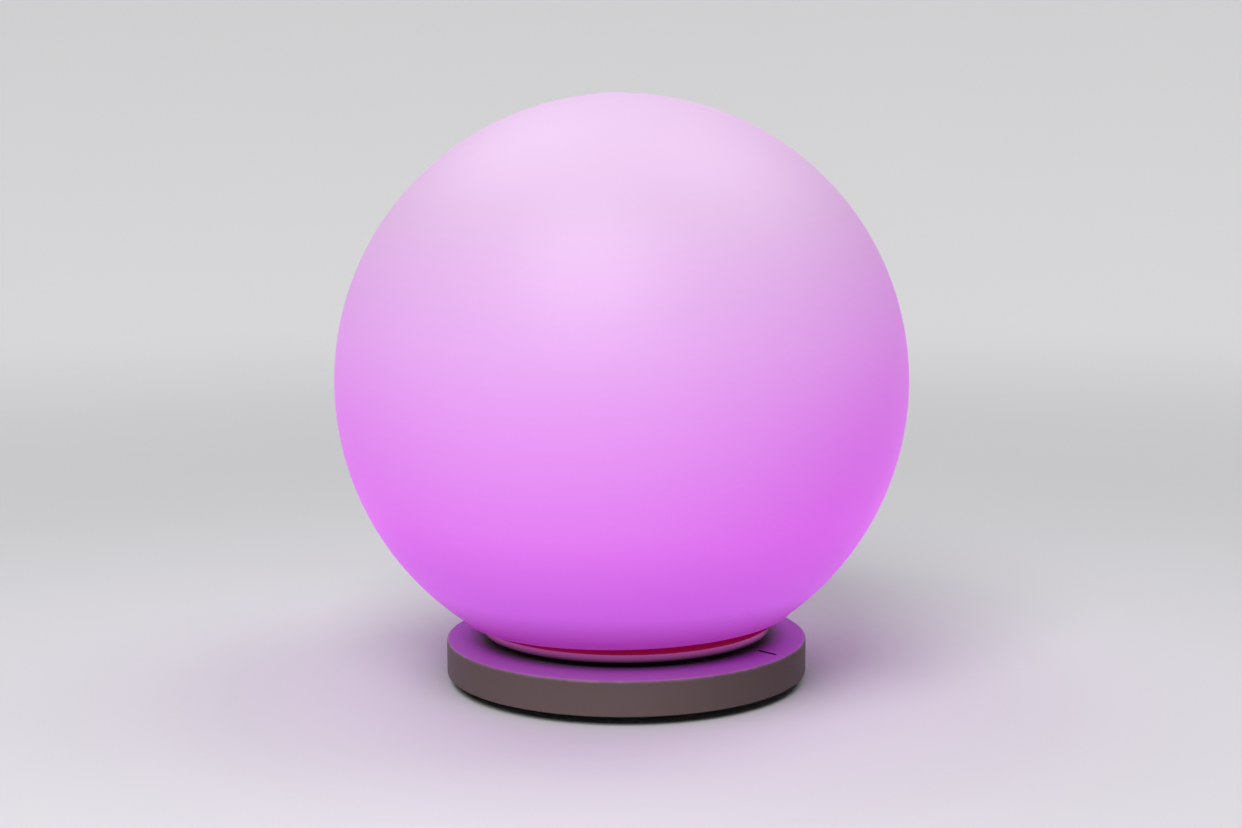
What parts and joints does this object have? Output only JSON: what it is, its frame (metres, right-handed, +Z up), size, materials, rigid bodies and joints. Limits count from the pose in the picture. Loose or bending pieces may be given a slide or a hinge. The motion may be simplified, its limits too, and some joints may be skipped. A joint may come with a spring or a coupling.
{
  "type": "garden globe light",
  "caption": "Frosted globe light on a round lamp housing with a red seal, standing loose on a flat round charging base.",
  "frame": {"origin": "on the surface that it stands on, under the middle of the base disc", "axes": "+Z up; the side that the picture shows faces -Y, with +X to its right"},
  "size_m": [0.2499, 0.25, 0.2582],
  "materials": {
    "frosted_globe": "frosted, lit magenta from inside",
    "red_silicone": "satin silicone",
    "housing_plastic": "fine matt moulding",
    "disc_shell": "fine matt moulding",
    "pad_plastic": "matt",
    "dark_plastic": "matt",
    "black_rubber": "matt",
    "button_plastic": "matt",
    "clear_silicone": "translucent silicone",
    "screw_steel": "bright zinc",
    "zinc_steel": "zinc plated",
    "spreader_aluminium": "rolled",
    "copper_wire": "enamelled copper winding",
    "ferrite": "sintered",
    "board_green": "solder resist",
    "board_white": "white solder resist",
    "chip_black": "moulded",
    "cell_wrap": "shrink sleeve",
    "led_lens": "clear resin",
    "opal_dome": "opal",
    "lead_sleeve": "insulating sleeve"
  },
  "bodies": {
    "base": {"base_top_cover": "disc_shell", "base_bottom_cover": "dark_plastic", "base_ballast": "zinc_steel", "base_feet": "black_rubber", "base_screws": "screw_steel", "dc_inlet": "dark_plastic", "charging_pad": "pad_plastic", "transmitter_coil": "copper_wire", "transmitter_ferrite": "ferrite", "transmitter_board": "board_green", "transmitter_chips": "chip_black", "inlet_leads": "lead_sleeve"},
    "lamp": {"lamp_housing": "housing_plastic", "receiver_coil": "copper_wire", "receiver_ferrite": "ferrite", "battery_cells": "cell_wrap", "battery_holder": "dark_plastic", "battery_strap": "dark_plastic", "control_board": "board_green", "board_screws": "screw_steel", "control_chips": "chip_black", "power_switch": "chip_black", "button_bellows": "clear_silicone", "heat_spreader": "spreader_aluminium", "led_board": "board_white", "led_board_screws": "screw_steel", "led_chips": "led_lens", "led_dome": "opal_dome", "dome_screws": "screw_steel", "coil_leads": "lead_sleeve", "battery_leads": "lead_sleeve", "led_leads": "lead_sleeve", "globe_shell": "frosted_globe", "shell_seal": "red_silicone"},
    "button": {"power_button": "button_plastic"}
  },
  "joints": [
    {"name": "lamp_lift", "type": "slide", "parent": "base", "child": "lamp", "axis": [0, 0, 1], "range_m": [0, 0.06]},
    {"name": "button_press", "type": "slide", "parent": "lamp", "child": "button", "axis": [0, 0, 1], "range_m": [0, 0.0008], "stiffness_N_per_m": 1200, "springref_m": -0.0005, "deforming": ["button_bellows"]}
  ]
}
